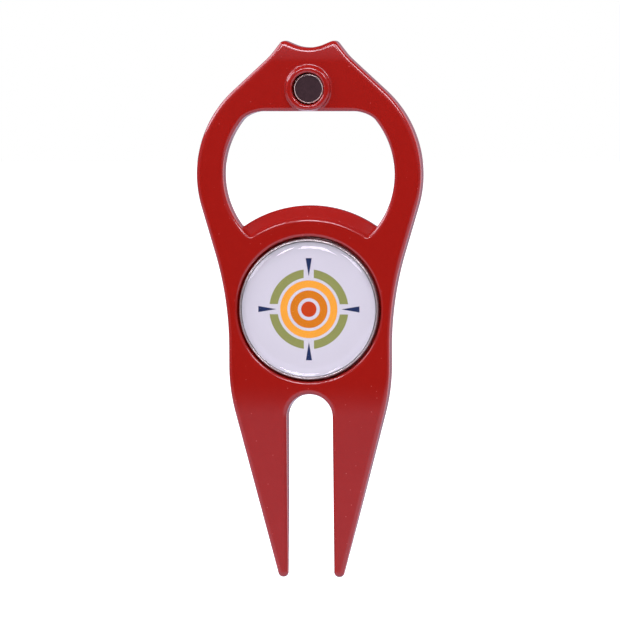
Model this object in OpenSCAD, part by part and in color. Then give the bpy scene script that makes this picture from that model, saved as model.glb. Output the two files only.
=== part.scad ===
// Divot repair tool with a bottle opener and a magnetic ball marker.
// Upright: +Z runs from the prong tips to the horns, the marker faces -Y, and X runs across.
// The origin is under the middle of the tool, level with the prong tips. Millimetres.

/* [Body] */
// Height from the prong tips to the corners of the two horns, before they are rounded
tool_h = 97; // [96.5:0.1:97.6]
// Thickness of the casting
body_t = 4; // [3.8:0.1:6]
// Width across the waist, beside the ball marker
waist_w = 29.3; // [28.6:0.1:31]
// Corner radius where the waist turns in to the prongs
shoulder_r = 34; // [20:1:36]
// Corner radius where the waist turns out to the opener ring
waist_r = 60; // [30:1:62]

/* [Opener ring] */
// Outer radius of the ring
ring_r = 20.45; // [19.9:0.05:21]
// Height of the ring's centre
ring_z = 72.75; // [72.2:0.05:74]
// Slant of the ring's lower sides, from the vertical
side_angle = 16.5; // [15:0.1:18]
// Slant of the ring's upper flanks, from the vertical
flank_angle = 47.4; // [46:0.1:50]
// Radius of the round window
window_r = 15.55; // [14.5:0.05:16]
// Height of the window's centre
window_z = 72.8; // [72:0.05:73.5]
// Height of the flat edge that closes the window at the top
window_top_z = 84.1; // [82:0.1:84.5]

/* [Opener lip] */
// Height of the centre that the lip curves about
lip_z = 46; // [45:0.1:47]
// Radius of the lip's edge in the window
lip_r = 21.15; // [20:0.05:22]
// Radius where the sloping ledge meets the front face
ledge_r = 18.8; // [17:0.1:19.5]
// Step from the front face down to the start of the ledge
ledge_step = 0.5; // [0.2:0.05:0.8]
// Depth of the ledge at the lip's edge
lip_depth = 1.8; // [1:0.1:2.2]

/* [Horns] */
// Distance of each horn's corner from the middle
horn_x = 4.76; // [4.6:0.02:5]
// Radius of the horn tips
horn_r = 1; // [0.6:0.1:1.2]
// Height where each flank bends up to its horn
flank_bend_z = 94; // [93.4:0.1:94.4]
// Radius of that bend
flank_bend_r = 12; // [5:1:14]
// Depth of the notch's corner below the horns' corners
notch_drop = 2; // [1.8:0.1:2.3]
// Radius of the notch between the horns, which steadies a club shaft
notch_r = 7; // [6:0.1:7.4]

/* [Prongs] */
// Width of the slot between the prongs
slot_w = 8.3; // [8.25:0.05:9]
// Height of the slot above the prong tips
slot_h = 33.1; // [28:0.1:33.5]
// Radius in the slot's two upper corners
slot_r = 4.1; // [1:0.05:4.1]
// Slant of each prong's outer edge, from the vertical
prong_angle = 14.5; // [14.2:0.1:15.2]
// Width of a prong at its tip, before it is rounded
tip_w = 1.7; // [1.62:0.02:1.9]
// Radius of each tip's two corners
tip_r = 0.9; // [0.5:0.05:0.9]
// Thickness of the prongs at their tips
tip_t = 1.3; // [1:0.1:2]
// Height where the front face starts to slope back to the tips
taper_z = 33; // [28:0.5:33]
// How far the back comes forward at the tips
tip_lift = 0.9; // [0.1:0.1:1.2]
// Height where the back starts to slope forward to the tips
back_taper_z = 12; // [6:1:20]

/* [Magnet boss] */
// Height of the boss centre
boss_z = 88.18; // [88.16:0.02:89]
// Outer radius of the boss
boss_r = 4.05; // [3.9:0.01:4.06]
// How far the boss stands out from the front face
boss_h = 0.9; // [0.6:0.1:1.2]
// Radius of the boss's bore
boss_bore_r = 2.9; // [2.85:0.05:3.2]
// Radius of the magnet in the boss
boss_magnet_r = 2.65; // [2.4:0.05:2.75]
// Length of the magnet in the boss
boss_magnet_h = 2; // [1:0.1:2]
// How far that magnet lies below the top of the boss
boss_magnet_drop = 1.2; // [0.4:0.1:1.5]

/* [Ball marker] */
// Height of the marker's centre
marker_z = 48.5; // [48:0.1:49]
// Radius of the marker
marker_r = 12.7; // [12:0.05:12.7]
// Gap all round the marker in its recess
marker_gap = 0.35; // [0.15:0.05:0.4]
// Depth of the recess in the body
recess_depth = 1.6; // [1.2:0.1:1.8]
// How far the marker's rim stands out from the front face
rim_proud = 0.2; // [0:0.05:0.4]
// Width of the marker's raised rim
rim_w = 0.5; // [0.4:0.05:1]
// Thickness of the marker's steel floor
marker_floor_t = 0.9; // [0.6:0.05:1]
// Thickness of the printed disc
label_t = 0.12; // [0.1:0.01:0.2]
// Height of the clear dome above the rim
dome_h = 0.6; // [0.3:0.05:0.6]
// Radius of the magnet behind the marker
marker_magnet_r = 4; // [3:0.1:5]
// Thickness of the magnet behind the marker
marker_magnet_t = 1; // [0.8:0.1:1]
// Gap round that magnet in its pocket
magnet_gap = 0.15; // [0.05:0.05:0.3]
// Thickness of the glue under each magnet
glue_t = 0.15; // [0.05:0.05:0.2]

/* [Hidden] */
$fn = 96;

// Planes across the thickness: the boss's top and the back are equally far from the origin.
back_y = (body_t + boss_h) / 2;
tip_back_y = back_y - tip_lift;
face_y = back_y - body_t;
boss_y = face_y - boss_h;
recess_y = face_y + recess_depth;
marker_pocket_y = recess_y + marker_magnet_t + glue_t;
boss_magnet_y = boss_y + boss_magnet_drop;
boss_bore_y = boss_magnet_y + boss_magnet_h + glue_t;
rim_y = face_y - rim_proud;
cup_floor_y = recess_y - marker_floor_t;
disc_y = cup_floor_y - label_t;
cup_inner_r = marker_r - rim_w;

// How far a cutting shape runs past the surface that it cuts
past = 1;
// Degrees of turn between the points of a rounded corner
corner_step = 4;
// Steps from the middle of the dome's curve to its edge
dome_steps = 8;
// Gap between the disc or the dome and the cup's wall
fit_gap = 0.02;

// Corners of one half of the outline, from the slot up to the horn: x, z and corner radius.
tip_outer_x = slot_w / 2 + tip_w;
shoulder_z = (waist_w / 2 - tip_outer_x) / tan(prong_angle);
ring_corner_reach = ring_r / cos((side_angle + flank_angle) / 2);
ring_corner_angle = (flank_angle - side_angle) / 2;
ring_corner_x = ring_corner_reach * cos(ring_corner_angle);
ring_corner_z = ring_z + ring_corner_reach * sin(ring_corner_angle);
waist_z = ring_corner_z - (ring_corner_x - waist_w / 2) / tan(side_angle);
flank_bend_x = ring_corner_x - (flank_bend_z - ring_corner_z) * tan(flank_angle);
half_outline = [
    [slot_w / 2, slot_h, slot_r],
    [slot_w / 2, 0, tip_r],
    [tip_outer_x, 0, tip_r],
    [waist_w / 2, shoulder_z, shoulder_r],
    [waist_w / 2, waist_z, waist_r],
    [ring_corner_x, ring_corner_z, ring_r],
    [flank_bend_x, flank_bend_z, flank_bend_r],
    [horn_x, tool_h, horn_r]
];
notch_corner = [0, tool_h - notch_drop, notch_r];
outline = concat(half_outline, [notch_corner],
    [for (i = [len(half_outline) - 1 : -1 : 0]) [-half_outline[i].x, half_outline[i].y, half_outline[i][2]]]);

function flat(p) = [p.x, p.y];
function unit(v) = v / norm(v);
function turn(a, b) = a.x * b.y - a.y * b.x;

// The points that round the corner at b, between the edges to a and c.
function corner(a, b, c) =
    let (
        to_a = unit(flat(a) - flat(b)),
        to_c = unit(flat(c) - flat(b)),
        half = acos(to_a * to_c) / 2,
        centre = flat(b) + unit(to_a + to_c) * b[2] / sin(half),
        start = flat(b) + to_a * b[2] / tan(half) - centre,
        swing = (90 - half) * 2 * sign(turn(to_c, to_a)),
        steps = max(2, ceil(abs(swing) / corner_step))
    )
    [for (i = [0 : steps])
        let (t = swing * i / steps)
        centre + [start.x * cos(t) - start.y * sin(t), start.x * sin(t) + start.y * cos(t)]];

// A closed outline with every corner rounded to its own radius.
function rounded(path) =
    let (n = len(path))
    [for (i = [0 : n - 1]) each corner(path[(i + n - 1) % n], path[i], path[(i + 1) % n])];

// A flat shape drawn in X and Z, filled from the plane front_y back to the plane rear_y.
module plate(front_y, rear_y) {
    translate([0, rear_y, 0])
        rotate([90, 0, 0])
            linear_extrude(rear_y - front_y)
                children();
}

// A round bar along Y at the height z.
module bar(r, z, front_y, rear_y) {
    translate([0, rear_y, z])
        rotate([90, 0, 0])
            cylinder(r = r, h = rear_y - front_y);
}

// The material under the opener's sloping ledge, which widens towards the back.
module lip_core() {
    bar(ledge_r, lip_z, face_y - past, face_y + ledge_step);
    translate([0, face_y + lip_depth, lip_z])
        rotate([90, 0, 0])
            cylinder(r1 = lip_r, r2 = ledge_r, h = lip_depth - ledge_step);
    bar(lip_r, lip_z, face_y + lip_depth, back_y + past);
}

module opener_window() {
    difference() {
        bar(window_r, window_z, face_y - past, back_y + past);
        translate([-tool_h / 2, face_y - 2 * past, window_top_z])
            cube([tool_h, body_t + 4 * past, tool_h]);
        lip_core();
    }
}

// The two wedges that thin the prongs towards their tips: a long one in front and a short one behind.
module prong_taper() {
    translate([-waist_w, 0, 0])
        rotate([90, 0, 90])
            linear_extrude(2 * waist_w) {
                polygon([
                    [face_y - past, -past],
                    [face_y - past, taper_z],
                    [face_y, taper_z],
                    [tip_back_y - tip_t, 0],
                    [tip_back_y - tip_t, -past]
                ]);
                polygon([
                    [back_y + past, -past],
                    [tip_back_y, -past],
                    [tip_back_y, 0],
                    [back_y, back_taper_z],
                    [back_y + past, back_taper_z]
                ]);
            }
}

module body() {
    color([0.63, 0.09, 0.06])
        difference() {
            union() {
                plate(face_y, back_y)
                    polygon(rounded(outline));
                bar(boss_r, boss_z, boss_y, face_y + past);
            }
            opener_window();
            prong_taper();
            bar(boss_bore_r, boss_z, boss_y - past, boss_bore_y);
            bar(marker_r + marker_gap, marker_z, face_y - past, recess_y);
            bar(marker_magnet_r + magnet_gap, marker_z, face_y - past, marker_pocket_y);
        }
}

module opener_magnet() {
    color([0.24, 0.2, 0.2])
        bar(boss_magnet_r, boss_z, boss_magnet_y, boss_magnet_y + boss_magnet_h);
}

module opener_magnet_glue() {
    color([0.75, 0.7, 0.55])
        bar(boss_magnet_r, boss_z, boss_bore_y - glue_t, boss_bore_y);
}

module marker_magnet() {
    color([0.72, 0.72, 0.74])
        bar(marker_magnet_r, marker_z, recess_y, recess_y + marker_magnet_t);
}

module marker_magnet_glue() {
    color([0.75, 0.7, 0.55])
        bar(marker_magnet_r, marker_z, marker_pocket_y - glue_t, marker_pocket_y);
}

module marker_cup() {
    color([0.75, 0.74, 0.73])
        difference() {
            bar(marker_r, marker_z, rim_y, recess_y);
            bar(cup_inner_r, marker_z, rim_y - past, cup_floor_y);
        }
}

module marker_disc() {
    color([0.85, 0.84, 0.91])
        bar(cup_inner_r - fit_gap, marker_z, disc_y, cup_floor_y);
}

module marker_dome() {
    dome_r = cup_inner_r - fit_gap;
    sphere_r = (dome_r * dome_r + dome_h * dome_h) / (2 * dome_h);
    edge_angle = asin(dome_r / sphere_r);
    edge_h = disc_y - rim_y;
    color([0.9, 0.92, 0.95, 0.35])
        translate([0, disc_y, marker_z])
            rotate([90, 0, 0])
                rotate_extrude()
                    polygon(concat(
                        [[0, 0], [dome_r, 0]],
                        [for (i = [dome_steps : -1 : 0])
                            let (a = edge_angle * i / dome_steps)
                            [sphere_r * sin(a), edge_h + dome_h - sphere_r * (1 - cos(a))]]));
}

body();
opener_magnet();
opener_magnet_glue();
marker_magnet();
marker_magnet_glue();
marker_cup();
marker_disc();
marker_dome();
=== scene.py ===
"""The looks of a divot repair tool: an enamelled die-cast body, its magnets, and a domed ball marker."""

import cmath
import math

import bpy
import numpy as np
from mathutils import Matrix, Vector


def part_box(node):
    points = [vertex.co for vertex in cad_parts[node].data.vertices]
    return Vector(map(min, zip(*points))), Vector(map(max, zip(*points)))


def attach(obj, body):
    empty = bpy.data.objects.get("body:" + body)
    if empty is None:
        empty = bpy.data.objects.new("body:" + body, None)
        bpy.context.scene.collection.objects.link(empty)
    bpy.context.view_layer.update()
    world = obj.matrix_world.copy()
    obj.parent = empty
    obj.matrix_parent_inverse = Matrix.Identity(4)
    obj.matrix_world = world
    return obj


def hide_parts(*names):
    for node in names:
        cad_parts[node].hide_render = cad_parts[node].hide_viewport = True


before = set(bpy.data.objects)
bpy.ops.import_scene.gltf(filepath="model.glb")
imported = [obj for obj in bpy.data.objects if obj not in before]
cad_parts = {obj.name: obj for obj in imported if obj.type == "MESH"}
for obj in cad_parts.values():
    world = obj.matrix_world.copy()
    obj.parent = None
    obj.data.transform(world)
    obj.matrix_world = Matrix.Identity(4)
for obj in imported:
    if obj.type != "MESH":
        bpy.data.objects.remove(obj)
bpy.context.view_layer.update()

# Shapes are worked out in millimetres, in the frame of the CAD model, and a mesh is scaled as it is made.
MM = 0.001


def node_box(node):
    """The lowest and highest corner of a CAD node, in millimetres."""
    low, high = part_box(node)
    return np.array(low) / MM, np.array(high) / MM


body_low, body_high = node_box("body")
cup_low, cup_high = node_box("marker_cup")
disc_low, disc_high = node_box("marker_disc")
dome_low, dome_high = node_box("marker_dome")
boss_magnet_low, boss_magnet_high = node_box("opener_magnet")
_, boss_glue_high = node_box("opener_magnet_glue")
_, hidden_glue_high = node_box("marker_magnet_glue")
hidden_magnet_low, hidden_magnet_high = node_box("marker_magnet")


# ---------------------------------------------------------------- sizes of the body

BODY_T = 4.0
BACK_Y = body_high[1]
FACE_Y = BACK_Y - BODY_T
BOSS_Y = body_low[1]

# The roundings of the long edges. A power above 2 lets a rounding start gently.
EDGE_R = 0.85
EDGE_POWER = 2.5
BACK_EDGE_R = 0.5
RECESS_EDGE_R = 0.6
INNER_R = 0.2

# The window's edge is rounded less where the ledge starts, and grows to its full rounding over this distance.
WINDOW_EDGE_R = 0.75
LEDGE_EDGE_R = 0.4
LEDGE_EDGE_BLEND = 1.5

# The front falls off above this height, along an arc.
ROLL_Z = 93.0
ROLL_R = 30.0

# The outline: its corners and their roundings, from the horns and the notch down to the shoulders.
TOOL_H = 97.0
WAIST_W = 29.3
SHOULDER_R = 34.0
WAIST_R = 60.0
RING_R = body_high[0]
RING_Z = 72.75
SIDE_ANGLE = math.radians(16.5)
FLANK_ANGLE = math.radians(47.4)
HORN_X = 4.76
HORN_R = 1.0
FLANK_BEND_Z = 94.0
FLANK_BEND_R = 12.0
NOTCH_DROP = 2.0
NOTCH_R = 7.0

# The slot between the prongs, and the prongs, which thin from both faces towards their tips.
SLOT_W = 8.3
SLOT_H = 33.1
SLOT_R = 4.1
PRONG_ANGLE = math.radians(14.5)
TIP_W = 1.7
TIP_R = 0.9
TIP_T = 1.3
TIP_LIFT = 0.9
TAPER_Z = 33.0
BACK_TAPER_Z = 12.0
TAPER_BLEND = 0.19

# The opener's window, its curved lip, and the ledge that slopes from the face back to the lip.
WINDOW_R = 15.55
WINDOW_Z = 72.8
WINDOW_TOP_Z = 84.1
WINDOW_CORNER_R = 1.6
LIP_Z = 46.0
LIP_R = 21.15
LIP_CORNER_R = 0.35
LIP_EDGE_R = 0.3
LIP_DEPTH = 1.8
LEDGE_R = 18.8
LEDGE_STEP = 0.5

# The boss and its bore. The boss's foot is sunk this far into the plate, so that the two join.
BOSS_ROOT = 1.0
BOSS_R = 4.05
BOSS_EDGE_R = 0.42
BOSS_FOOT_R = 0.35
BORE_R = 2.9
BORE_EDGE_R = 0.32
BORE_Y = boss_glue_high[1]
BOSS_Z = (boss_magnet_low[2] + boss_magnet_high[2]) / 2

# The marker, its recess, and the pocket in the recess's floor that holds the hidden magnet.
MARKER_Z = (cup_low[2] + cup_high[2]) / 2
MARKER_R = (cup_high[0] - cup_low[0]) / 2
MARKER_GAP = 0.35
FIT_GAP = 0.02
CUP_WALL_R = disc_high[0] + FIT_GAP
MAGNET_GAP = 0.15
RECESS_R = MARKER_R + MARKER_GAP
RECESS_Y = cup_high[1]
POCKET_R = (hidden_magnet_high[0] - hidden_magnet_low[0]) / 2 + MAGNET_GAP
POCKET_Y = hidden_glue_high[1]


# ---------------------------------------------------------------- rounded corners in a plane

# A point in a plane is a complex number: across plus 1j times up, or radius plus 1j times depth.


def unit(v):
    """The same direction with a length of 1."""
    return v / abs(v)


def corner_arc(before, here, after, radius):
    """The arc that rounds a corner: its centre, two ends, middle direction, half its turn and its side.
    The side is 1 where the path turns left and -1 where it turns right."""
    to_before = unit(before - here)
    to_after = unit(after - here)
    cosine = (to_before * to_after.conjugate()).real
    half_corner = math.acos(max(-1.0, min(1.0, cosine))) / 2
    middle = unit(to_before + to_after)
    centre = here + middle * radius / math.sin(half_corner)
    reach = radius / math.tan(half_corner)
    side = 1 if (-to_before.conjugate() * to_after).imag > 0 else -1
    return {
        "centre": centre,
        "radius": radius,
        "start": here + to_before * reach,
        "end": here + to_after * reach,
        "middle": -middle,
        "half_turn": math.pi / 2 - half_corner,
        "side": side,
    }


def outline_corners():
    """The corners of the body's outline and their radii, with the metal on the left of the path."""
    tip_outer_x = SLOT_W / 2 + TIP_W
    shoulder_z = (WAIST_W / 2 - tip_outer_x) / math.tan(PRONG_ANGLE)
    reach = RING_R / math.cos((SIDE_ANGLE + FLANK_ANGLE) / 2)
    ring_corner = 1j * RING_Z + cmath.rect(reach, (FLANK_ANGLE - SIDE_ANGLE) / 2)
    waist_z = ring_corner.imag - (ring_corner.real - WAIST_W / 2) / math.tan(SIDE_ANGLE)
    flank_bend_x = ring_corner.real - (FLANK_BEND_Z - ring_corner.imag) * math.tan(FLANK_ANGLE)
    right = [
        (complex(SLOT_W / 2, SLOT_H), SLOT_R),
        (complex(SLOT_W / 2, 0), TIP_R),
        (complex(tip_outer_x, 0), TIP_R),
        (complex(WAIST_W / 2, shoulder_z), SHOULDER_R),
        (complex(WAIST_W / 2, waist_z), WAIST_R),
        (ring_corner, RING_R),
        (complex(flank_bend_x, FLANK_BEND_Z), FLANK_BEND_R),
        (complex(HORN_X, TOOL_H), HORN_R),
    ]
    notch = [(complex(0, TOOL_H - NOTCH_DROP), NOTCH_R)]
    left = [(-corner.conjugate(), radius) for corner, radius in reversed(right)]
    return right + notch + left


def outline_arcs():
    """The arcs that round the outline's corners, in order. Straight lines join them."""
    corners = outline_corners()
    points = [corner for corner, radius in corners]
    befores = points[-1:] + points[:-1]
    afters = points[1:] + points[:1]
    return [
        corner_arc(before, corner, after, radius)
        for before, (corner, radius), after in zip(befores, corners, afters)
    ]


OUTLINE = outline_arcs()


def outline_distance(x, z):
    """Signed distance to the outline, less than 0 inside."""
    p = x + 1j * z
    nearest = np.full(p.shape, np.inf)
    for arc, after in zip(OUTLINE, OUTLINE[1:] + OUTLINE[:1]):
        straight = after["start"] - arc["end"]
        local = (p - arc["end"]) / unit(straight)
        along = np.clip(local.real, 0, abs(straight))
        distance = np.where(local.imag > 0, -1, 1) * np.abs(local - along)
        nearest = np.where(np.abs(distance) < np.abs(nearest), distance, nearest)
    for arc in OUTLINE:
        v = p - arc["centre"]
        in_turn = (v * arc["middle"].conjugate()).real >= np.abs(v) * math.cos(arc["half_turn"])
        distance = arc["side"] * (np.abs(v) - arc["radius"])
        closer = in_turn & (np.abs(distance) <= np.abs(nearest) + 1e-9)
        nearest = np.where(closer, distance, nearest)
    return nearest


# ---------------------------------------------------------------- solids as signed distances


def rounded(a, b, r, power=2.0):
    """Where both solids are, with the edge between them rounded to the radius r.
    A power above 2 makes the rounding start gently."""
    corner = (np.maximum(a + r, 0) ** power + np.maximum(b + r, 0) ** power) ** (1 / power)
    return np.minimum(np.maximum(a + r, b + r), 0) + corner - r


def filleted(a, b, r):
    """Where either solid is, with the corner between them filled to the radius r."""
    return -rounded(-a, -b, r)


def blended(a, b, k):
    """Where both solids are, with a gentle bend between two faces that are nearly in line."""
    return np.maximum(a, b) + np.maximum(k - np.abs(a - b), 0) ** 2 / (4 * k)


def face_distances(y, z):
    """Signed distances to the body's front and back, which close in at the prong tips.
    The front also falls off a little at the horns."""
    tip_back_y = BACK_Y - TIP_LIFT
    front_slope = (tip_back_y - TIP_T - FACE_Y) / TAPER_Z
    back_slope = TIP_LIFT / BACK_TAPER_Z
    front_taper = (FACE_Y + front_slope * (TAPER_Z - z) - y) / math.hypot(1, front_slope)
    back_taper = (y - BACK_Y + back_slope * (BACK_TAPER_Z - z)) / math.hypot(1, back_slope)
    roll = np.maximum(z - ROLL_Z, 0) ** 2 / (2 * ROLL_R)
    front = blended(FACE_Y - y + roll, front_taper, TAPER_BLEND)
    back = blended(y - BACK_Y, back_taper, TAPER_BLEND)
    return front, back


def round_hole(from_axis, y, r, floor_y):
    """A blind hole from the front, with a small fillet round its floor."""
    return rounded(from_axis - r, y - floor_y, INNER_R)


def opener_metal(x, y, z):
    """Everything but the opener's window: outside it, or in the lip with its sloping ledge."""
    opening = rounded(np.hypot(x, z - WINDOW_Z) - WINDOW_R, z - WINDOW_TOP_Z, WINDOW_CORNER_R)
    from_lip_axis = np.hypot(x, z - LIP_Z)
    slope = (LIP_DEPTH - LEDGE_STEP) / (LIP_R - LEDGE_R)
    ledge_y = FACE_Y + LEDGE_STEP + slope * (from_lip_axis - LEDGE_R)
    under_ledge = (ledge_y - y) / math.hypot(1, slope)
    lip = rounded(from_lip_axis - LIP_R, under_ledge, LIP_EDGE_R)
    lip = filleted(from_lip_axis - LEDGE_R, lip, LIP_EDGE_R)
    return filleted(-opening, lip, LIP_CORNER_R)


def body_distance(x, y, z):
    """Signed distance to the whole casting, less than 0 in the metal."""
    front, back = face_distances(y, z)
    plate = rounded(outline_distance(x, z), front, EDGE_R, EDGE_POWER)
    plate = rounded(plate, back, BACK_EDGE_R)
    from_boss_axis = np.hypot(x, z - BOSS_Z)
    boss = rounded(from_boss_axis - BOSS_R, np.maximum(BOSS_Y - y, y - FACE_Y - BOSS_ROOT), BOSS_EDGE_R)
    solid = filleted(plate, boss, BOSS_FOOT_R)
    from_step = np.abs(np.hypot(x, z - LIP_Z) - LEDGE_R)
    edge_r = LEDGE_EDGE_R + (WINDOW_EDGE_R - LEDGE_EDGE_R) * np.clip(from_step / LEDGE_EDGE_BLEND, 0, 1)
    solid = rounded(solid, opener_metal(x, y, z), edge_r, EDGE_POWER)
    solid = rounded(solid, -round_hole(from_boss_axis, y, BORE_R, BORE_Y), BORE_EDGE_R)
    from_marker_axis = np.hypot(x, z - MARKER_Z)
    recess = round_hole(from_marker_axis, y, RECESS_R, RECESS_Y)
    solid = rounded(solid, -recess, RECESS_EDGE_R, EDGE_POWER)
    return rounded(solid, -round_hole(from_marker_axis, y, POCKET_R, POCKET_Y), INNER_R)


def gradient(distance, points, step):
    """Which way the distance grows fastest at each point, averaged over a step to each side."""
    slopes = []
    for axis in np.eye(3) * step:
        ahead, behind = (points + axis).T, (points - axis).T
        slopes.append((distance(*ahead) - distance(*behind)) / (2 * step))
    return np.stack(slopes, 1)


# How far to each side the slope is taken, to settle the points and to shade them.
SETTLE_STEP = 0.01
SHADING_STEP = 0.14
LEAST_STEEPNESS = 0.2


def surface_net(distance, low, high, cell, settle=4):
    """Points, four-sided faces and outward normals of the surface where the distance is 0.
    Each grid cell that the surface crosses gets one point, which then settles onto the surface."""
    # The grid reaches a little past the box on every side, so that the surface stays off its edge.
    ticks = [np.arange(low[i] - 1.5 * cell, high[i] + 2.5 * cell, cell) for i in range(3)]
    field = distance(ticks[0][:, None, None], ticks[1][None, :, None], ticks[2][None, None, :])
    inside = field < 0
    cells = np.array(field.shape) - 1
    corners = [(i, j, k) for i in (0, 1) for j in (0, 1) for k in (0, 1)]
    count = sum(inside[i:i + cells[0], j:j + cells[1], k:k + cells[2]].astype(int) for i, j, k in corners)
    crossed = np.argwhere((count > 0) & (count < len(corners)))
    number = np.full(cells, -1)
    number[tuple(crossed.T)] = np.arange(len(crossed))

    total = np.zeros((len(crossed), 3))
    hits = np.zeros(len(crossed))
    for axis in range(3):
        ahead = np.eye(3, dtype=int)[axis]
        for corner in corners:
            if corner[axis] == 1:
                continue
            start = crossed + corner
            a = field[tuple(start.T)]
            b = field[tuple((start + ahead).T)]
            hit = (a < 0) != (b < 0)
            share = np.where(hit, a / np.where(hit, a - b, 1), 0)
            total += np.where(hit[:, None], start + share[:, None] * ahead, 0)
            hits += hit
    points = total / hits[:, None] * cell + [t[0] for t in ticks]
    for _ in range(settle):
        slope = gradient(distance, points, SETTLE_STEP)
        off = distance(*points.T)[:, None]
        steepness = np.maximum((slope ** 2).sum(1, keepdims=True), LEAST_STEEPNESS)
        points = points - np.clip(off / steepness, -cell, cell) * slope

    faces = []
    for axis in range(3):
        ahead = np.eye(3, dtype=int)[axis]
        second, third = np.eye(3, dtype=int)[(axis + 1) % 3], np.eye(3, dtype=int)[(axis + 2) % 3]
        last = tuple(slice(0, n - ahead[i]) for i, n in enumerate(field.shape))
        first = tuple(slice(ahead[i], n) for i, n in enumerate(field.shape))
        edge = np.argwhere(inside[last] != inside[first])
        around = [edge - second - third, edge - third, edge, edge - second]
        quads = np.stack([number[tuple(c.T)] for c in around], 1)
        outward = inside[tuple(edge.T)]
        faces.append(np.where(outward[:, None], quads, quads[:, ::-1]))
    slope = gradient(distance, points, SHADING_STEP)
    normals = slope / np.linalg.norm(slope, axis=1, keepdims=True)
    return points, np.concatenate(faces), normals


# ---------------------------------------------------------------- turned pieces


def turned_profile(corners, turn_step=math.radians(12)):
    """Points and normals of a closed profile with every corner rounded.
    A corner is (radius from the axis, depth, rounding). A rounding of 0 marks an end on the axis."""
    points, normals = [], []
    for i, (r, y, rounding) in enumerate(corners):
        if rounding == 0:
            neighbour = corners[1] if i == 0 else corners[-2]
            along = unit(complex(neighbour[0] - r, neighbour[1] - y)) * (1 if i == 0 else -1)
            points.append(complex(r, y))
            normals.append(along * -1j)
            continue
        before, here, after = (complex(*corners[i + step][:2]) for step in (-1, 0, 1))
        arc = corner_arc(before, here, after, rounding)
        steps = max(2, math.ceil(2 * arc["half_turn"] / turn_step))
        for n in range(steps + 1):
            swing = arc["side"] * arc["half_turn"] * (2 * n / steps - 1)
            away = arc["middle"] * cmath.exp(1j * swing)
            points.append(arc["centre"] + away * rounding)
            normals.append(away * arc["side"])
    return points, normals


def turned(points, normals, centre_z, segments):
    """Turns a profile about the line along Y at this height. Both ends of the profile lie on that line."""
    angles = [2 * math.pi * n / segments for n in range(segments)]
    spokes = np.array([(math.cos(a), math.sin(a)) for a in angles])
    co, no, faces = [], [], []
    last = len(points) - 1
    for i, (p, n) in enumerate(zip(points, normals)):
        # The first and last points lie on the axis, so each stays one point and makes no ring.
        ring = spokes if 0 < i < last else spokes[:1] * 0
        level = np.ones(len(ring))
        co.append(np.column_stack([ring[:, 0] * p.real, level * p.imag, centre_z + ring[:, 1] * p.real]))
        no.append(np.column_stack([ring[:, 0] * n.real, level * n.imag, ring[:, 1] * n.real]))
    starts = np.cumsum([0] + [len(c) for c in co])
    for i in range(last):
        for k in range(segments):
            a, b = k, (k + 1) % segments
            low, high = starts[i], starts[i + 1]
            if i == 0:
                faces.append((low, high + a, high + b))
            elif i == last - 1:
                faces.append((low + a, high, low + b))
            else:
                faces.append((low + a, high + a, high + b, low + b))
    return np.concatenate(co), faces, np.concatenate(no)


# ---------------------------------------------------------------- making pieces


def make_piece(name, shape, body, material, replaced):
    """A mesh from points in millimetres, faces and normals. It stands for a CAD node and rides on a body."""
    points, faces, normals = shape
    mesh = bpy.data.meshes.new(name)
    mesh.from_pydata((np.asarray(points) * MM).tolist(), [], [list(map(int, f)) for f in faces])
    mesh.validate()
    mesh.shade_smooth()
    mesh.normals_split_custom_set_from_vertices(normals.tolist())
    mesh.materials.append(material)
    piece = bpy.data.objects.new(name, mesh)
    bpy.context.scene.collection.objects.link(piece)
    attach(piece, body)
    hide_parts(replaced)
    return piece


# ---------------------------------------------------------------- building materials


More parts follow.
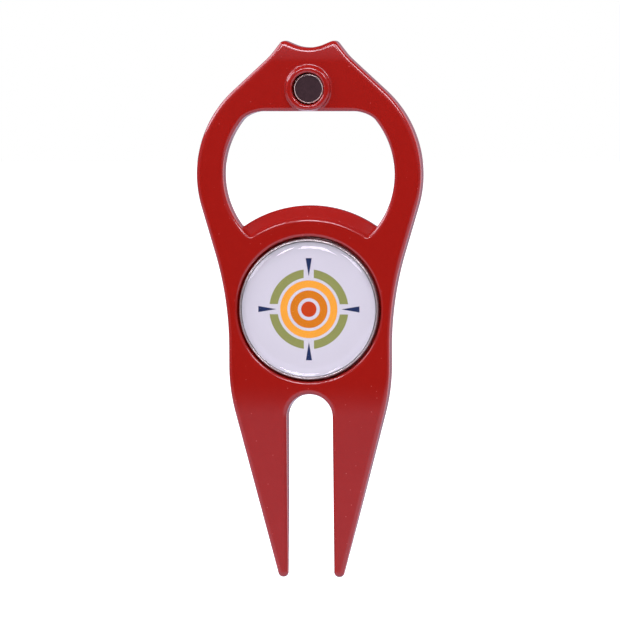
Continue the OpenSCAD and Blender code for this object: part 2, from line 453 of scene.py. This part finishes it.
class Nodes:
    """The node tree of a material or a world, with short calls that add and join nodes."""

    def __init__(self, owner):
        owner.use_nodes = True
        self.tree = owner.node_tree
        self.tree.nodes.clear()

    def add(self, kind, settings=None, inputs=None):
        node = self.tree.nodes.new(kind)
        for key, value in (settings or {}).items():
            setattr(node, key, value)
        for key, value in (inputs or {}).items():
            self.put(node.inputs[key], value)
        return node

    def put(self, socket, value):
        """Joins a node's output to the socket, or sets the socket to a plain value."""
        if isinstance(value, bpy.types.NodeSocket):
            self.tree.links.new(value, socket)
        else:
            socket.default_value = value

    def math(self, operation, *values):
        node = self.add("ShaderNodeMath", {"operation": operation}, dict(enumerate(values)))
        return node.outputs[0]

    def hypot(self, a, b):
        total = self.math("ADD", self.math("POWER", a, 2.0), self.math("POWER", b, 2.0))
        return self.math("SQRT", total)

    def parts(self, vector):
        return self.add("ShaderNodeSeparateXYZ", {}, {0: vector}).outputs

    def ramp(self, value, low, high):
        """0 below low, 1 above high, and a smooth step between."""
        node = self.add("ShaderNodeMapRange", {"interpolation_type": "SMOOTHSTEP"},
                        {"Value": value, "From Min": low, "From Max": high})
        return node.outputs["Result"]

    def above(self, value, limit, softness):
        """1 where the value is above the limit and 0 below it, with an edge this soft to each side."""
        return self.ramp(value, limit - softness, limit + softness)

    def below(self, value, limit, softness):
        return self.ramp(value, limit + softness, limit - softness)

    def mix(self, factor, a, b):
        """Colour a where the factor is 0, and colour b where it is 1."""
        node = self.add("ShaderNodeMix", {"data_type": "RGBA"}, {"Factor": factor, 6: a, 7: b})
        return node.outputs[2]

    def place(self):
        """The place on the piece, in millimetres, fixed to the piece."""
        coordinates = self.add("ShaderNodeTexCoord").outputs["Object"]
        node = self.add("ShaderNodeVectorMath", {"operation": "SCALE"}, {0: coordinates, "Scale": 1 / MM})
        return node.outputs[0]

    def noise(self, place, size, detail=2.0, roughness=0.5):
        """Noise whose blotches are about size millimetres across, from 0 to 1."""
        node = self.add("ShaderNodeTexNoise", {}, {
            "Vector": place, "Scale": 1 / size, "Detail": detail, "Roughness": roughness})
        return node.outputs[0]

    def bump(self, height, strength, distance, normal=None):
        """The normal of a surface raised by a height from 0 to 1 times this distance in millimetres."""
        node = self.add("ShaderNodeBump", {}, {
            "Height": height, "Strength": strength, "Distance": distance * MM})
        if normal is not None:
            self.put(node.inputs["Normal"], normal)
        return node.outputs[0]

    def surface(self, shader):
        """Makes this shader the material's surface."""
        output = self.add("ShaderNodeOutputMaterial")
        self.tree.links.new(shader, output.inputs["Surface"])

    def principled(self, **inputs):
        """A general shader. An input's name has underscores for its spaces."""
        names = {key.replace("_", " "): value for key, value in inputs.items()}
        return self.add("ShaderNodeBsdfPrincipled", {}, names).outputs[0]


def colour(red, green, blue):
    """A colour given by its screen values, from 0 to 255."""
    def linear(value):
        value /= 255
        return value / 12.92 if value <= 0.04045 else ((value + 0.055) / 1.055) ** 2.4
    return (linear(red), linear(green), linear(blue), 1.0)


def grey(value):
    """A grey of this brightness, from 0 to 1."""
    return (value, value, value, 1.0)


def new_material(name):
    """A new material and its empty node tree."""
    material = bpy.data.materials.new(name)
    return material, Nodes(material)


# Where a material has two tones of one colour, it changes slowly from one to the other over its surface.
ENAMEL = colour(158, 18, 6)
ENAMEL_DEEP = colour(151, 16, 5)
ENAMEL_GRAIN = colour(162, 21, 10)
ENAMEL_SPECK = colour(225, 110, 105)
NICKEL = colour(246, 240, 234)
NICKEL_CLOUD = colour(226, 220, 214)
# The dark tone of the rings painted on the nickel as painted reflections of the rim's beads.
NICKEL_PAINTED_RING = colour(104, 98, 98)
# The painted shade of the cup's inner wall.
NICKEL_PAINTED_SHADE = colour(70, 66, 66)
PAPER = colour(218, 221, 222)
PAPER_CLOUD = colour(214, 217, 218)
INK = colour(22, 42, 82)
RESIN = (0.985, 0.985, 1.0, 1.0)
# The magnet's painted highlight on its edge, and the two tones of the painted dark reflection on its face.
MAGNET_PAINTED_HIGHLIGHT = colour(252, 246, 232)
MAGNET_PAINTED_REFLECTION = colour(78, 58, 60)
MAGNET_PAINTED_REFLECTION_DEEP = colour(50, 38, 40)
PLATING = colour(206, 206, 210)
PLATING_CLOUD = colour(178, 178, 184)
GLUE = colour(212, 200, 160)
GLUE_CLOUD = colour(184, 166, 122)
FLOOR = grey(0.47)
FLOOR_CLOUD = grey(0.43)
WHITE = grey(1.0)
WORLD_TINT = colour(236, 230, 255)

# The enamel's specks: their spacing and the share of the places that have one, their radii as shares of
# the spacing, and how much they cover the red.
SPECK_SPACING = 0.95
SPECK_SHARE = 0.28
SPECK_R = 0.13
SPECK_CORE_R = 0.07
SPECK_STRENGTH = 0.45


def red_coat():
    """Gloss red enamel: slow changes of tone, fine grain, a few pale specks and a faint orange peel."""
    material, n = new_material("red_coat")
    place = n.place()
    tone = n.mix(n.noise(place, 9.0, 3.0), ENAMEL, ENAMEL_DEEP)
    grain = n.noise(place, 0.16, 3.0, 0.7)
    tone = n.mix(n.ramp(grain, 0.35, 0.75), tone, ENAMEL_GRAIN)
    cells = n.add("ShaderNodeTexVoronoi", {}, {"Vector": place, "Scale": 1 / SPECK_SPACING})
    chance = n.add("ShaderNodeSeparateColor", {}, {0: cells.outputs["Color"]}).outputs[0]
    chosen = n.math("GREATER_THAN", chance, 1 - SPECK_SHARE)
    speck = n.math("MULTIPLY", chosen, n.ramp(cells.outputs["Distance"], SPECK_R, SPECK_CORE_R))
    tone = n.mix(n.math("MULTIPLY", speck, SPECK_STRENGTH), tone, ENAMEL_SPECK)
    peel = n.bump(n.noise(place, 2.6, 1.0), 0.25, 0.02)
    fine = n.bump(grain, 0.12, 0.01, peel)
    n.surface(n.principled(
        Base_Color=tone, Roughness=0.42, Normal=fine, Specular_IOR_Level=0.03,
        Coat_Weight=1.0, Coat_Roughness=0.12, Coat_IOR=1.75, Coat_Normal=peel))
    return material


def from_axis(n, place, centre_z):
    """The parts of a place across, along and up from the line along Y at this height, in millimetres."""
    across, along, height = n.parts(place)
    return across, along, n.math("SUBTRACT", height, float(centre_z))


# How far the inner wall of the cup, painted darker and made duller as painted shade where the rim meets the
# print, reaches into the metal, and how soft its edge is.
WALL_SHADE_T = 0.035
WALL_SHADE_SOFT = 0.015


def nickel():
    """Plated steel with the rings that turning leaves, fine rings painted light and dark as painted
    reflections of the rim's beads, and an inner wall painted darker and duller as painted shade where the rim
    meets the print.
    """
    material, n = new_material("nickel")
    place = n.place()
    across, along, up = from_axis(n, place, MARKER_Z)
    radius = n.hypot(across, up)
    track = n.add("ShaderNodeCombineXYZ", {}, {0: radius, 1: along}).outputs[0]
    rings = n.noise(track, 0.05, 3.0, 0.7)
    cloud = n.noise(place, 1.4, 3.0)
    tone = n.mix(cloud, NICKEL, NICKEL_CLOUD)
    # Fine rings painted light and dark round the rim, as painted reflections of its turned beads.
    painted_rings = n.ramp(n.noise(track, 0.13, 1.0), 0.42, 0.58)
    tone = n.mix(painted_rings, NICKEL_PAINTED_RING, tone)
    # The inner wall is painted darker and made duller, as painted shade where the rim meets the print.
    wall = n.below(radius, float(CUP_WALL_R) + WALL_SHADE_T, WALL_SHADE_SOFT)
    tone = n.mix(wall, tone, NICKEL_PAINTED_SHADE)
    roughness = n.math("MULTIPLY_ADD", wall, 0.4, n.math("MULTIPLY_ADD", cloud, 0.08, 0.14))
    n.surface(n.principled(
        Base_Color=tone, Metallic=0.8, Roughness=roughness, Normal=n.bump(rings, 0.25, 0.01)))
    return material


# The target's bands from the middle out: outer radius in millimetres and colour, or None for bare paper.
PRINT_BANDS = [
    (1.4, colour(200, 62, 4)),
    (2.0, None),
    (3.4, colour(218, 127, 12)),
    (3.9, None),
    (5.2, colour(251, 174, 56)),
    (5.7, None),
    (7.2, colour(145, 154, 84)),
]
PRINT_SOFT = 0.03

# The breaks in the outer band, and the ink marks that stand in them and widen outwards.
BREAK_START = 5.68
BREAK_HALF_W = 0.92
MARK_START = 5.9
MARK_END = 9.2
MARK_FLARE = 0.17


def printed():
    """A pale disc printed with a plain aiming target: rings, and four ink marks that point at its middle."""
    material, n = new_material("print")
    place = n.place()
    across, _, up = from_axis(n, place, MARKER_Z)
    wobble = n.math("MULTIPLY_ADD", n.noise(place, 0.35, 2.0), 0.04, -0.02)
    edge = n.math("ADD", n.hypot(across, up), wobble)
    paper = n.mix(n.noise(place, 0.25, 3.0, 0.7), PAPER, PAPER_CLOUD)
    tone = paper
    inner = 0.0
    for outer, band in PRINT_BANDS:
        if band is not None:
            ring = n.math("MULTIPLY", n.above(edge, inner, PRINT_SOFT), n.below(edge, outer, PRINT_SOFT))
            tone = n.mix(ring, tone, band)
        inner = outer

    sideways, upright = n.math("ABSOLUTE", across), n.math("ABSOLUTE", up)
    far, near = n.math("MAXIMUM", sideways, upright), n.math("MINIMUM", sideways, upright)
    off_middle = n.above(edge, BREAK_START, PRINT_SOFT)
    breaks = n.math("MULTIPLY", off_middle, n.below(near, BREAK_HALF_W, PRINT_SOFT))
    tone = n.mix(breaks, tone, paper)
    mark_half_w = n.math("MULTIPLY", n.math("SUBTRACT", far, MARK_START), MARK_FLARE)
    mark = n.below(n.math("SUBTRACT", near, mark_half_w), 0.0, PRINT_SOFT)
    mark = n.math("MULTIPLY", mark, n.above(far, MARK_START + PRINT_SOFT, PRINT_SOFT))
    mark = n.math("MULTIPLY", mark, n.below(far, MARK_END, PRINT_SOFT))
    tone = n.mix(mark, tone, INK)
    n.surface(n.principled(Base_Color=tone, Roughness=0.5, Specular_IOR_Level=0.2))
    return material


def clear_resin():
    """Clear resin with a faint ripple."""
    material, n = new_material("clear_resin")
    ripple = n.bump(n.noise(n.place(), 4.0, 1.0), 0.1, 0.02)
    n.surface(n.principled(
        Base_Color=RESIN, Roughness=0.02, IOR=1.5, Transmission_Weight=1.0, Normal=ripple))
    return material


# The width of the ring painted bright round the magnet's face as a painted highlight, and how soft its inner
# edge is.
MAGNET_HIGHLIGHT_W = 0.19
MAGNET_HIGHLIGHT_SOFT = 0.03


def magnet():
    """A magnet with a face painted dark, as a painted reflection of the dark room in its plating, inside a
    narrow ring painted bright, as a painted highlight on its edge.
    """
    material, n = new_material("magnet")
    place = n.place()
    across, _, up = from_axis(n, place, BOSS_Z)
    # Outside face_r the edge is painted bright as a painted highlight; inside it the face is painted dark as
    # a painted reflection.
    face_r = float(boss_magnet_high[0]) - MAGNET_HIGHLIGHT_W
    face = n.below(n.hypot(across, up), face_r, MAGNET_HIGHLIGHT_SOFT)
    blotch = n.noise(place, 0.9, 4.0, 0.6)
    dark = n.mix(blotch, MAGNET_PAINTED_REFLECTION, MAGNET_PAINTED_REFLECTION_DEEP)
    tone = n.mix(face, MAGNET_PAINTED_HIGHLIGHT, dark)
    roughness = n.math("MULTIPLY_ADD", face, n.math("MULTIPLY_ADD", blotch, 0.15, 0.25), 0.14)
    grit = n.bump(n.noise(place, 0.12, 3.0, 0.7), 0.2, 0.01)
    # The painted highlight ring is hardly metallic, so that its pale colour shows bright under any light.
    metal = n.math("MULTIPLY_ADD", face, 0.7, 0.2)
    n.surface(n.principled(Base_Color=tone, Metallic=metal, Roughness=roughness, Normal=grit))
    return material


def plated_magnet():
    """Cloudy nickel plating, for the magnet behind the marker."""
    material, n = new_material("magnet_plating")
    place = n.place()
    cloud = n.noise(place, 0.8, 4.0)
    tone = n.mix(cloud, PLATING, PLATING_CLOUD)
    n.surface(n.principled(
        Base_Color=tone, Metallic=1.0, Roughness=n.math("MULTIPLY_ADD", cloud, 0.15, 0.15),
        Normal=n.bump(n.noise(place, 0.15, 2.0), 0.15, 0.01)))
    return material


def glue():
    """Cured yellowish glue with an uneven surface."""
    material, n = new_material("glue")
    place = n.place()
    cloud = n.noise(place, 0.7, 4.0)
    tone = n.mix(cloud, GLUE, GLUE_CLOUD)
    n.surface(n.principled(
        Base_Color=tone, Roughness=0.35, Subsurface_Weight=0.1, Subsurface_Scale=0.5 * MM,
        Normal=n.bump(cloud, 0.4, 0.05)))
    return material


# How much the floor glows, and how much more it does where the camera sees it.
FLOOR_GLOW = 0.05
FLOOR_GLOW_SEEN = 1.1


def floor_paper():
    """A pale sheet that glows a little, like a light table, so that it stays white to its far edge."""
    material, n = new_material("floor_paper")
    cloud = n.noise(n.place(), 40.0, 3.0)
    tone = n.mix(cloud, FLOOR, FLOOR_CLOUD)
    seen = n.add("ShaderNodeLightPath").outputs["Is Camera Ray"]
    glow = n.math("MULTIPLY_ADD", seen, FLOOR_GLOW_SEEN, FLOOR_GLOW)
    n.surface(n.principled(
        Base_Color=tone, Roughness=0.7, Specular_IOR_Level=0.2,
        Emission_Color=WHITE, Emission_Strength=glow))
    return material


# ---------------------------------------------------------------- the object's pieces

BODY_CELL = 0.25
MAGNET_SEGMENTS = 96
CUP_SEGMENTS = 240
DISC_SEGMENTS = 192

MAGNET_EDGE_R = 0.2
MAGNET_BACK_R = 0.15
FINE_R = 0.03
DISC_EDGE_R = 0.05

# The cup's rim, from its mouth outwards. Each width is across the rim and each height is back from its face.
MOUTH_CHAMFER = 0.06
GROOVE_INSET = 0.19
GROOVE_HALF_W = 0.05
GROOVE_DEPTH = 0.07
GROOVE_ROOT_R = 0.02
BEVEL_W = 0.08
BEVEL_H = 0.12
BEVEL_TOP_R = 0.06
BEVEL_FOOT_R = 0.05
STEP_W = 0.08
STEP_H = 0.3
STEP_R = 0.04
CUP_BACK_R = 0.2


def make_body():
    """The enamelled casting."""
    shape = surface_net(body_distance, body_low, body_high, BODY_CELL)
    return make_piece("body_casting", shape, "tool", red_coat(), "body")


def make_boss_magnet():
    """The magnet in the boss, with its front edge rounded more than its back edge."""
    r = boss_magnet_high[0]
    front, back = boss_magnet_low[1], boss_magnet_high[1]
    profile = turned_profile([
        (0, front, 0), (r, front, MAGNET_EDGE_R), (r, back, MAGNET_BACK_R), (0, back, 0)])
    shape = turned(*profile, BOSS_Z, MAGNET_SEGMENTS)
    return make_piece("boss_magnet", shape, "tool", magnet(), "opener_magnet")


def make_cup():
    """The marker's cup: a chamfered mouth, a fine groove in the rim and a bevelled step outside it."""
    rim, back, floor = cup_low[1], cup_high[1], disc_high[1]
    mouth_r = CUP_WALL_R + MOUTH_CHAMFER
    groove_r = CUP_WALL_R + GROOVE_INSET
    step_r = MARKER_R - STEP_W
    profile = turned_profile([
        (0, floor, 0),
        (CUP_WALL_R, floor, FINE_R),
        (CUP_WALL_R, rim + MOUTH_CHAMFER, FINE_R),
        (mouth_r, rim, FINE_R),
        (groove_r - GROOVE_HALF_W, rim, FINE_R),
        (groove_r, rim + GROOVE_DEPTH, GROOVE_ROOT_R),
        (groove_r + GROOVE_HALF_W, rim, FINE_R),
        (step_r - BEVEL_W, rim, BEVEL_TOP_R),
        (step_r, rim + BEVEL_H, BEVEL_FOOT_R),
        (step_r, rim + STEP_H, STEP_R),
        (MARKER_R, rim + STEP_H + BEVEL_H, STEP_R),
        (MARKER_R, back, CUP_BACK_R),
        (0, back, 0)])
    shape = turned(*profile, MARKER_Z, CUP_SEGMENTS)
    return make_piece("marker_cup_turned", shape, "marker", nickel(), "marker_cup")


def make_disc():
    """The printed disc under the dome."""
    r = disc_high[0]
    front, back = disc_low[1], disc_high[1]
    profile = turned_profile([(0, front, 0), (r, front, DISC_EDGE_R), (r, back, FINE_R), (0, back, 0)])
    shape = turned(*profile, MARKER_Z, DISC_SEGMENTS)
    return make_piece("marker_print", shape, "marker", printed(), "marker_disc")


DOME_POWER = 18
DOME_STEPS = 40
DOME_RIM_R = 0.02
RESIN_GAP = 0.01


def make_dome():
    """The clear dome, which is nearly flat in the middle and drops ever more steeply to its rim.
    It casts no shadow on the print, and the print gets its light as if the resin weren't there."""
    r = dome_high[0]
    front, back, rim = dome_low[1], dome_high[1] - RESIN_GAP, cup_low[1]
    rise = rim - front
    points, normals = [complex(0, front)], [-1j]
    for n in range(1, DOME_STEPS + 1):
        share = math.sin(n / DOME_STEPS * math.pi / 2)
        slope = rise * DOME_POWER * share ** (DOME_POWER - 1) / r
        points.append(complex(r * share, rim - rise * (1 - share ** DOME_POWER)))
        normals.append(unit(complex(slope, -1)))
    edge_points, edge_normals = turned_profile([
        (0, rim, 0), (r, rim, DOME_RIM_R), (r, back, FINE_R), (0, back, 0)])
    points += edge_points[2:]
    normals += edge_normals[2:]
    shape = turned(points, normals, MARKER_Z, DISC_SEGMENTS)
    dome = make_piece("marker_dome_resin", shape, "marker", clear_resin(), "marker_dome")
    dome.visible_shadow = False
    dome.visible_diffuse = False
    return dome


def dress(node, material):
    """Gives a CAD node that stays in view a material of its own."""
    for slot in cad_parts[node].material_slots:
        slot.material = material


make_body()
make_boss_magnet()
make_cup()
make_disc()
make_dome()
glue_material = glue()
dress("opener_magnet_glue", glue_material)
dress("marker_magnet_glue", glue_material)
dress("marker_magnet", plated_magnet())


# ---------------------------------------------------------------- camera, floor and light

# The azimuth turns from the front towards the right. Lengths are in metres, but for the sensor's width.
CAMERA_AZIMUTH = math.radians(8.5)
CAMERA_ELEVATION = math.radians(2.5)
CAMERA_ROLL = math.radians(-0.15)
CAMERA_DISTANCE = 1.4
FRAME_WIDTH = 0.1117
SENSOR_W = 36.0
CLIP_START = 0.05
CLIP_END = 20.0
CAMERA_TARGET = Vector((0, 0, 0.0483))


def direction(azimuth, elevation):
    """The way from the object towards a camera at this azimuth and elevation."""
    return Vector((
        math.sin(azimuth) * math.cos(elevation),
        -math.cos(azimuth) * math.cos(elevation),
        math.sin(elevation)))


def make_camera():
    """A long lens far away, whose view is FRAME_WIDTH wide at the target."""
    data = bpy.data.cameras.new("camera")
    data.sensor_fit = "HORIZONTAL"
    data.sensor_width = SENSOR_W
    data.lens = SENSOR_W * CAMERA_DISTANCE / FRAME_WIDTH
    data.clip_start = CLIP_START
    data.clip_end = CLIP_END
    camera = bpy.data.objects.new("camera", data)
    bpy.context.scene.collection.objects.link(camera)
    away = direction(CAMERA_AZIMUTH, CAMERA_ELEVATION)
    aim = (-away).to_track_quat("-Z", "Y").to_matrix().to_4x4()
    roll = Matrix.Rotation(CAMERA_ROLL, 4, "Z")
    camera.matrix_world = Matrix.Translation(CAMERA_TARGET + away * CAMERA_DISTANCE) @ aim @ roll
    bpy.context.scene.camera = camera


FLOOR_FRONT = 0.42
FLOOR_BACK = 3.0
FLOOR_HALF_W = 3.0


def make_floor():
    """A level sheet under the tips. It isn't mirrored in the object: the world's pale table stands for it."""
    mesh = bpy.data.meshes.new("floor")
    corners = [(-FLOOR_HALF_W, -FLOOR_FRONT, 0), (FLOOR_HALF_W, -FLOOR_FRONT, 0),
               (FLOOR_HALF_W, FLOOR_BACK, 0), (-FLOOR_HALF_W, FLOOR_BACK, 0)]
    mesh.from_pydata(corners, [], [(0, 1, 2, 3)])
    mesh.materials.append(floor_paper())
    floor = bpy.data.objects.new("floor", mesh)
    bpy.context.scene.collection.objects.link(floor)
    floor.visible_glossy = False


LAMP_DISTANCE = 1.25
LAMP_TINT = (0.95, 0.86, 1.0)


def make_softbox(name, azimuth, elevation, width, height, radiance, mirrored=True):
    """A rectangular lamp that faces the object's middle from this azimuth and elevation, in degrees.
    Its sides are in metres. A lamp that isn't mirrored lights the object but doesn't show in it."""
    data = bpy.data.lights.new(name, "AREA")
    data.shape = "RECTANGLE"
    data.size, data.size_y = width, height
    data.energy = radiance * math.pi * width * height
    data.color = LAMP_TINT
    lamp = bpy.data.objects.new(name, data)
    bpy.context.scene.collection.objects.link(lamp)
    away = direction(math.radians(azimuth), math.radians(elevation))
    lamp.location = CAMERA_TARGET + away * LAMP_DISTANCE
    lamp.rotation_euler = away.to_track_quat("Z", "Y").to_euler()
    lamp.visible_glossy = mirrored


# How bright each part of the tent is, and where it starts and is full. Depth is 1 straight behind the
# object and -1 straight in front, and height is 1 straight overhead and -1 straight below.
SURROUND = 0.25
BEHIND = 0.12
BEHIND_DEPTHS = (0.2, 0.7)
OVERHEAD_LOSS = 0.5
OVERHEAD_HEIGHTS = (0.5, 0.8)
TABLE_GAIN = 3.0
TABLE_HEIGHTS = (-0.1, -0.32)
GAP_LOSS = 0.95
GAP_DEPTHS = (-0.8, -0.93)
ABOVE_GAP_HEIGHTS = (-0.02, 0.06)
BELOW_GAP_HEIGHTS = (-0.085, -0.17)


def make_world():
    """A pale tent, brighter behind and much brighter below, dimmer overhead, with a dark gap in front."""
    world = bpy.data.worlds.new("world")
    bpy.context.scene.world = world
    n = Nodes(world)
    look = n.add("ShaderNodeTexCoord").outputs["Generated"]
    _, depth, height = n.parts(look)
    walls = n.math("MULTIPLY_ADD", n.ramp(depth, *BEHIND_DEPTHS), BEHIND, SURROUND)
    roof = n.math("MULTIPLY_ADD", n.ramp(height, *OVERHEAD_HEIGHTS), -OVERHEAD_LOSS, 1.0)
    table = n.math("MULTIPLY_ADD", n.ramp(height, *TABLE_HEIGHTS), TABLE_GAIN, 1.0)
    off_gap = n.math("MAXIMUM", n.ramp(height, *ABOVE_GAP_HEIGHTS), n.ramp(height, *BELOW_GAP_HEIGHTS))
    gap = n.math("MULTIPLY", n.math("SUBTRACT", 1.0, off_gap), n.ramp(depth, *GAP_DEPTHS))
    front = n.math("MULTIPLY_ADD", gap, -GAP_LOSS, 1.0)
    room = n.math("MULTIPLY", n.math("MULTIPLY", walls, roof), n.math("MULTIPLY", table, front))
    seen = n.add("ShaderNodeLightPath").outputs["Is Camera Ray"]
    tint = n.mix(seen, WORLD_TINT, WHITE)
    strength = n.math("MAXIMUM", room, seen)
    shader = n.add("ShaderNodeBackground", {}, {"Color": tint, "Strength": strength})
    output = n.add("ShaderNodeOutputWorld")
    n.put(output.inputs["Surface"], shader.outputs[0])


make_camera()
make_floor()
make_world()
make_softbox("front_top", -5.5, 23, 0.27, 0.32, 11.0)
make_softbox("front_left", -20, 24, 0.08, 0.28, 22.0)
make_softbox("left", -58, 26, 0.7, 0.35, 4.0)
make_softbox("right_top", 32, 33, 0.4, 0.34, 10.0)
make_softbox("side_left", -88, 32, 0.9, 0.6, 4.0)
make_softbox("side_right", 125, 12, 1.6, 1.2, 1.1)
make_softbox("right_fill", 100, 30, 1.0, 0.8, 3.0, mirrored=False)
make_softbox("roof", 0, 68, 0.9, 0.3, 8.6, mirrored=False)
bpy.context.scene.view_settings.view_transform = "Standard"
